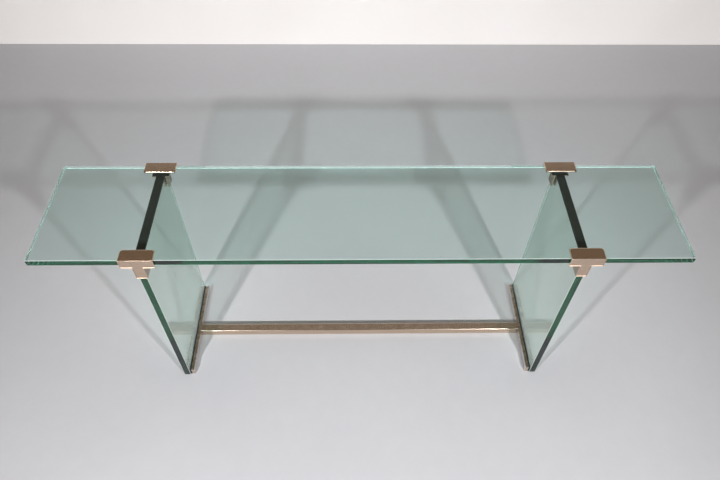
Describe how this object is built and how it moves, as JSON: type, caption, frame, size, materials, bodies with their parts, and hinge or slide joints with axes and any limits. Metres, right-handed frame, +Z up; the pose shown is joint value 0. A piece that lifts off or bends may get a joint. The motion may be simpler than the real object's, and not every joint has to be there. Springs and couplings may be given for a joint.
{
  "type": "console table",
  "caption": "Long low glass console table: float-glass top on two upright glass side panels, held by T-shaped metal clamps, with flat foot rails and a square cross bar.",
  "frame": {"origin": "middle of the footprint at floor level, under the middle of the glass top", "axes": "+X along the length of the table, +Y from the front to the back, +Z up"},
  "size_m": [1.6, 0.3308, 0.5954],
  "materials": {
    "glass_top": "polished float glass, green in the edge",
    "glass_panel": "polished float glass, green in the edge",
    "satin_nickel": "satin nickel plate, warm tone",
    "nickel_bar": "brushed nickel plate, warm tone",
    "black_liner": "black soft rubber sheet",
    "zinc_steel": "zinc plated",
    "raw_steel": "turned steel",
    "bond_tape": "black foam bonding strip",
    "soft_glide": "clear soft polyurethane"
  },
  "bodies": {
    "root": {"base_rail_left": "nickel_bar", "base_rail_right": "nickel_bar", "bond_tape_left": "bond_tape", "bond_tape_right": "bond_tape", "cheek_screw_back_left": "zinc_steel", "cheek_screw_back_right": "zinc_steel", "cheek_screw_front_left": "zinc_steel", "cheek_screw_front_right": "zinc_steel", "clamp_back_left": "satin_nickel", "clamp_back_right": "satin_nickel", "clamp_front_left": "satin_nickel", "clamp_front_right": "satin_nickel", "edge_strip_left": "black_liner", "edge_strip_right": "black_liner", "glide_back_left": "soft_glide", "glide_back_right": "soft_glide", "glide_front_left": "soft_glide", "glide_front_right": "soft_glide", "jaw_screw_inner_back_left": "zinc_steel", "jaw_screw_inner_back_right": "zinc_steel", "jaw_screw_inner_front_left": "zinc_steel", "jaw_screw_inner_front_right": "zinc_steel", "jaw_screw_outer_back_left": "zinc_steel", "jaw_screw_outer_back_right": "zinc_steel", "jaw_screw_outer_front_left": "zinc_steel", "jaw_screw_outer_front_right": "zinc_steel", "rail_screw_back_left": "zinc_steel", "rail_screw_back_right": "zinc_steel", "rail_screw_front_left": "zinc_steel", "rail_screw_front_right": "zinc_steel", "side_liner_back_left": "black_liner", "side_liner_back_right": "black_liner", "side_liner_front_left": "black_liner", "side_liner_front_right": "black_liner", "side_panel_left": "glass_panel", "side_panel_right": "glass_panel", "stretcher": "nickel_bar", "stretcher_plug_left": "raw_steel", "stretcher_plug_right": "raw_steel", "table_top": "glass_top", "top_liner_back_left": "black_liner", "top_liner_back_right": "black_liner", "top_liner_front_left": "black_liner", "top_liner_front_right": "black_liner"}
  },
  "joints": []
}
